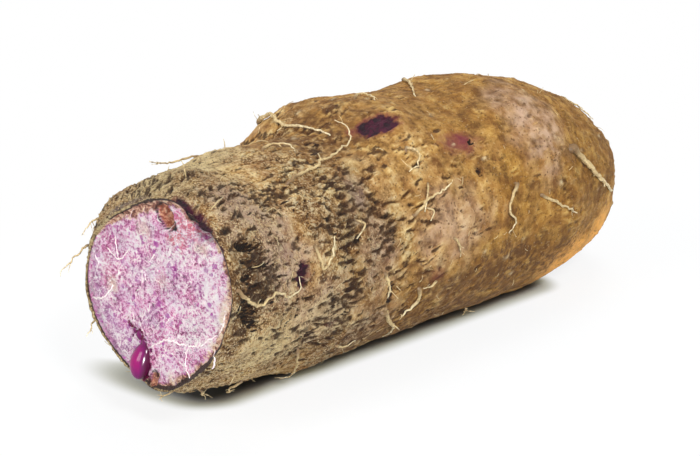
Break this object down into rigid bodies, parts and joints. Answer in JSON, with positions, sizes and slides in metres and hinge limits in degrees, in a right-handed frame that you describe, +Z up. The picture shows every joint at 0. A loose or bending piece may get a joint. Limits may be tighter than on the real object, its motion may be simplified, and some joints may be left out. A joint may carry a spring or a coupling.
{
  "type": "purple yam",
  "caption": "Cut purple yam tuber lying on its side, with a flat speckled purple cut face, rough fissured brown skin, curling rootlets and a bead of juice.",
  "frame": {"origin": "middle of the bounding box at its base, on the surface that the tuber lies on", "axes": "+X along the tuber from the cut face to the rounded far end, +Z up, -Y towards the long side that carries the most rootlets"},
  "size_m": [0.217, 0.0806, 0.069],
  "materials": {
    "skin": "matte",
    "flesh": "matte",
    "rootlet": "matte",
    "juice": "gloss"
  },
  "bodies": {
    "root": {"tuber": "skin", "juice_bead": "juice", "rootlet_shoulder_curl": "rootlet", "rootlet_shoulder_thick": "rootlet", "rootlet_crown_near": "rootlet", "rootlet_crown_middle": "rootlet", "rootlet_crown_far": "rootlet", "rootlet_scar_hook": "rootlet", "rootlet_side_long": "rootlet", "rootlet_side_short": "rootlet", "rootlet_side_wave": "rootlet", "rootlet_far_thick": "rootlet", "rootlet_far_side": "rootlet", "rootlet_low_drop": "rootlet", "rootlet_low_curl": "rootlet", "rootlet_low_reach": "rootlet", "rootlet_low_stub": "rootlet", "rootlet_under_far": "rootlet", "rootlet_vee": "rootlet", "rootlet_wavy": "rootlet", "rootlet_floor_long": "rootlet", "rootlet_front_curl": "rootlet", "rootlet_front_low": "rootlet", "rootlet_low_lying": "rootlet", "rootlet_low_bristle": "rootlet", "rootlet_cut_hair_top": "rootlet", "rootlet_cut_hair_long": "rootlet", "rootlet_cut_hair_low": "rootlet", "rootlet_cut_hair_under": "rootlet", "rootlet_crown_hair_long": "rootlet", "rootlet_crown_hair_short": "rootlet", "rootlet_back_near": "rootlet", "rootlet_back_curl": "rootlet", "rootlet_back_thick": "rootlet", "rootlet_back_wave": "rootlet", "rootlet_back_hook": "rootlet", "rootlet_back_short": "rootlet", "rootlet_back_low": "rootlet", "rootlet_back_far": "rootlet", "rootlet_far_crown": "rootlet", "rootlet_far_tip": "rootlet", "rootlet_far_under": "rootlet", "rootlet_under_back": "rootlet", "rootlet_under_middle": "rootlet"}
  },
  "joints": []
}
